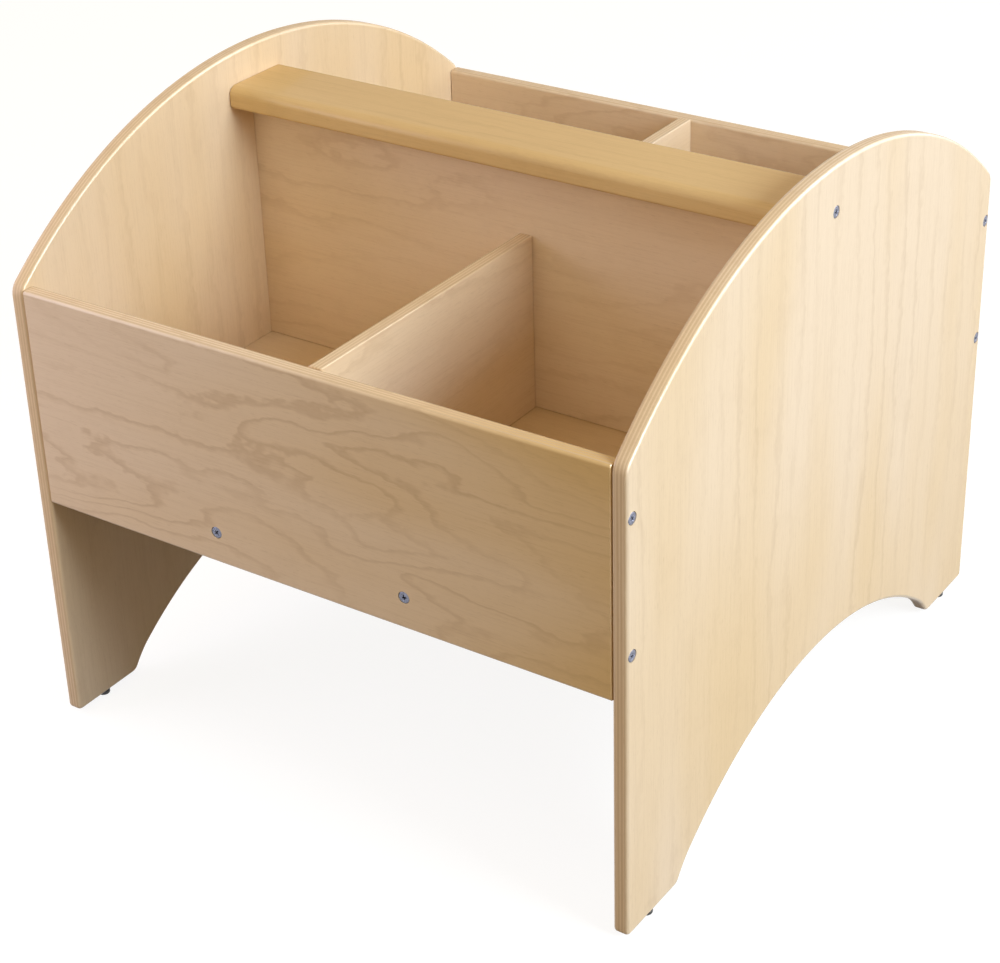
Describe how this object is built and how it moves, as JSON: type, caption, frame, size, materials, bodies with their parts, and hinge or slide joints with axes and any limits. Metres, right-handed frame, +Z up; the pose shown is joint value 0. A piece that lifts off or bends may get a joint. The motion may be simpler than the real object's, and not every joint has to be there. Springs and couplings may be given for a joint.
{
  "type": "picture book browser bin",
  "caption": "Low plywood bin with arched sides on arch-cut feet, whose crossed dividers under a round-nosed cap rail hold picture books upright for browsing.",
  "frame": {"origin": "on the floor, under the middle of the bin", "axes": "+X along the front panel to the right, +Y from the front panel to the back panel, +Z up"},
  "size_m": [0.56, 0.592, 0.512],
  "materials": {
    "birch_plywood": "satin clear lacquer over birch veneer",
    "solid_birch": "satin clear lacquer",
    "zinc_steel": "bright zinc plate",
    "black_nylon": "matte"
  },
  "bodies": {
    "root": {"left_side_panel": "birch_plywood", "right_side_panel": "birch_plywood", "front_panel": "birch_plywood", "back_panel": "birch_plywood", "bottom_shelf": "birch_plywood", "centre_divider": "birch_plywood", "front_cross_divider": "birch_plywood", "back_cross_divider": "birch_plywood", "cap_rail": "solid_birch", "left_front_lower_screw": "zinc_steel", "left_front_upper_screw": "zinc_steel", "left_back_lower_screw": "zinc_steel", "left_back_upper_screw": "zinc_steel", "left_cap_screw": "zinc_steel", "right_front_lower_screw": "zinc_steel", "right_front_upper_screw": "zinc_steel", "right_back_lower_screw": "zinc_steel", "right_back_upper_screw": "zinc_steel", "right_cap_screw": "zinc_steel", "front_left_shelf_screw": "zinc_steel", "front_right_shelf_screw": "zinc_steel", "back_left_shelf_screw": "zinc_steel", "back_right_shelf_screw": "zinc_steel", "front_cross_lower_screw": "zinc_steel", "front_cross_upper_screw": "zinc_steel", "back_cross_lower_screw": "zinc_steel", "back_cross_upper_screw": "zinc_steel", "front_cross_inner_foot_screw": "zinc_steel", "front_cross_outer_foot_screw": "zinc_steel", "back_cross_inner_foot_screw": "zinc_steel", "back_cross_outer_foot_screw": "zinc_steel", "divider_left_foot_screw": "zinc_steel", "divider_middle_foot_screw": "zinc_steel", "divider_right_foot_screw": "zinc_steel", "left_front_glide": "black_nylon", "left_back_glide": "black_nylon", "right_front_glide": "black_nylon", "right_back_glide": "black_nylon"}
  },
  "joints": []
}
